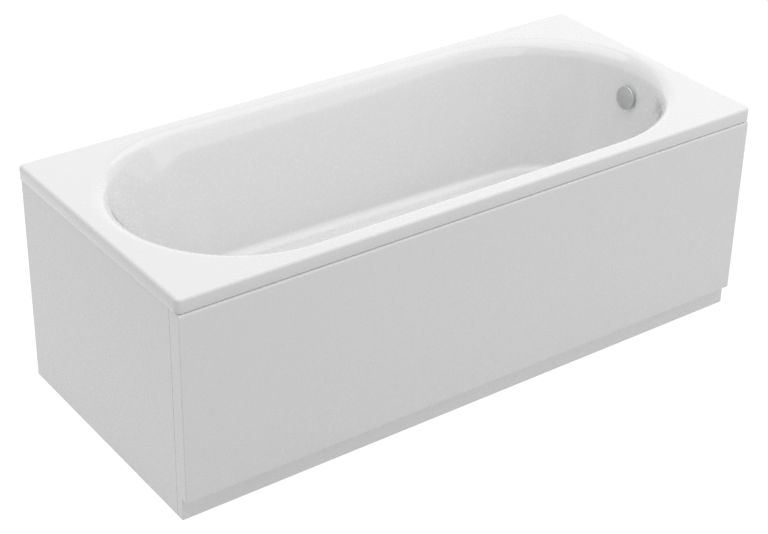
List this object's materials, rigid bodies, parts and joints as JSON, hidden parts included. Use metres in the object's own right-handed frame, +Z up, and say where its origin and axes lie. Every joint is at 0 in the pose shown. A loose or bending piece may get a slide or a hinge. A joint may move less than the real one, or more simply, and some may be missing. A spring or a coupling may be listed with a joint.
{
  "type": "bathtub",
  "caption": "Rectangular built-in acrylic bathtub with rounded well, overflow knob, pop-up drain, levelling feet, trap, front panel with recessed plinth and end panel.",
  "frame": {"origin": "on the floor, under the middle of the rim", "axes": "+X towards the drain end along the length, +Y from the front panel to the wall side, +Z up"},
  "size_m": [1.7, 0.75, 0.595],
  "materials": {
    "acrylic": "polished white acrylic",
    "panel": "polished white acrylic",
    "chipboard": "raw pressed chips",
    "timber": "planed softwood",
    "galvanised_steel": "galvanised",
    "zinc_steel": "zinc plated",
    "aluminium": "mill finish",
    "chrome": "polished chrome",
    "steel_pin": "turned",
    "rubber": "matt black rubber",
    "white_plastic": "moulded white plastic",
    "grey_plastic": "ribbed grey plastic",
    "black_plastic": "black plastic sleeve"
  },
  "bodies": {
    "bath": {"bath_shell": "acrylic", "front_panel": "panel", "end_panel": "panel", "base_board": "chipboard", "rim_batten_front": "timber", "rim_batten_rear": "timber", "rim_batten_left": "timber", "rim_batten_right": "timber", "leg_rail_left": "galvanised_steel", "leg_rail_right": "galvanised_steel", "wall_bracket_left": "galvanised_steel", "wall_bracket_right": "galvanised_steel", "panel_clip_front_1": "galvanised_steel", "panel_clip_front_2": "galvanised_steel", "panel_clip_front_3": "galvanised_steel", "panel_clip_end_1": "galvanised_steel", "panel_clip_end_2": "galvanised_steel", "panel_stay_left": "galvanised_steel", "panel_stay_right": "galvanised_steel", "lever_pin": "galvanised_steel", "rail_screws": "zinc_steel", "foot_nuts": "zinc_steel", "wall_bracket_screws": "zinc_steel", "clip_screws": "zinc_steel", "stay_screws": "zinc_steel", "corner_strip": "aluminium", "drain_flange": "chrome", "overflow_gasket": "rubber", "drain_gasket_upper": "rubber", "drain_gasket_lower": "rubber", "overflow_grate": "white_plastic", "overflow_body": "white_plastic", "waste_body": "white_plastic", "waste_union_nut": "white_plastic", "trap_head": "white_plastic", "trap_cup": "white_plastic", "outlet_nut": "white_plastic", "waste_pipe": "white_plastic", "hose_nut_top": "white_plastic", "hose_nut_bottom": "white_plastic", "overflow_hose": "grey_plastic", "control_cable": "black_plastic", "cable_gland_top": "black_plastic", "cable_gland_bottom": "black_plastic"},
    "overflow_control": {"overflow_knob": "chrome", "overflow_spindle": "steel_pin", "cable_drum": "galvanised_steel"},
    "waste_lever": {"lift_lever": "galvanised_steel"},
    "drain_stopper": {"drain_plug": "chrome", "plug_seal": "rubber", "plug_stem": "steel_pin"},
    "foot_front_left": {"foot_pad_front_left": "rubber"},
    "spindle_front_left": {"foot_spindle_front_left": "zinc_steel"},
    "foot_rear_left": {"foot_pad_rear_left": "rubber"},
    "spindle_rear_left": {"foot_spindle_rear_left": "zinc_steel"},
    "foot_front_right": {"foot_pad_front_right": "rubber"},
    "spindle_front_right": {"foot_spindle_front_right": "zinc_steel"},
    "foot_rear_right": {"foot_pad_rear_right": "rubber"},
    "spindle_rear_right": {"foot_spindle_rear_right": "zinc_steel"}
  },
  "joints": [
    {"name": "overflow_control_turn", "type": "hinge", "parent": "bath", "child": "overflow_control", "pos_m": [0.77424, 0, 0.495], "axis": [-0.9903, 0, 0.1392], "range_deg": [0, 90]},
    {"name": "waste_lever_tilt", "type": "hinge", "parent": "bath", "child": "waste_lever", "pos_m": [0.606, 0, 0.18688], "axis": [0, 1, 0], "range_deg": [0, 28]},
    {"name": "drain_stopper_lift", "type": "slide", "parent": "bath", "child": "drain_stopper", "axis": [0, 0, 1], "range_m": [0, 0.009]},
    {"name": "foot_extend_front_left", "type": "slide", "parent": "bath", "child": "foot_front_left", "axis": [0, 0, -1], "range_m": [0, 0.02]},
    {"name": "spindle_turn_front_left", "type": "hinge", "parent": "foot_front_left", "child": "spindle_front_left", "pos_m": [-0.4, -0.26116, 0.1], "axis": [0, 0, -1], "range_deg": [0, 4800]},
    {"name": "foot_extend_rear_left", "type": "slide", "parent": "bath", "child": "foot_rear_left", "axis": [0, 0, -1], "range_m": [0, 0.02]},
    {"name": "spindle_turn_rear_left", "type": "hinge", "parent": "foot_rear_left", "child": "spindle_rear_left", "pos_m": [-0.4, 0.26116, 0.1], "axis": [0, 0, -1], "range_deg": [0, 4800]},
    {"name": "foot_extend_front_right", "type": "slide", "parent": "bath", "child": "foot_front_right", "axis": [0, 0, -1], "range_m": [0, 0.02]},
    {"name": "spindle_turn_front_right", "type": "hinge", "parent": "foot_front_right", "child": "spindle_front_right", "pos_m": [0.4, -0.26116, 0.1], "axis": [0, 0, -1], "range_deg": [0, 4800]},
    {"name": "foot_extend_rear_right", "type": "slide", "parent": "bath", "child": "foot_rear_right", "axis": [0, 0, -1], "range_m": [0, 0.02]},
    {"name": "spindle_turn_rear_right", "type": "hinge", "parent": "foot_rear_right", "child": "spindle_rear_right", "pos_m": [0.4, 0.26116, 0.1], "axis": [0, 0, -1], "range_deg": [0, 4800]}
  ],
  "couplings": [
    {"joint": "waste_lever_tilt", "follows": "overflow_control_turn", "ratio": 0.31111},
    {"joint": "drain_stopper_lift", "follows": "overflow_control_turn", "m_per_rad": 0.0057296},
    {"joint": "spindle_turn_front_left", "follows": "foot_extend_front_left", "rad_per_m": 4188.8},
    {"joint": "spindle_turn_rear_left", "follows": "foot_extend_rear_left", "rad_per_m": 4188.8},
    {"joint": "spindle_turn_front_right", "follows": "foot_extend_front_right", "rad_per_m": 4188.8},
    {"joint": "spindle_turn_rear_right", "follows": "foot_extend_rear_right", "rad_per_m": 4188.8}
  ]
}
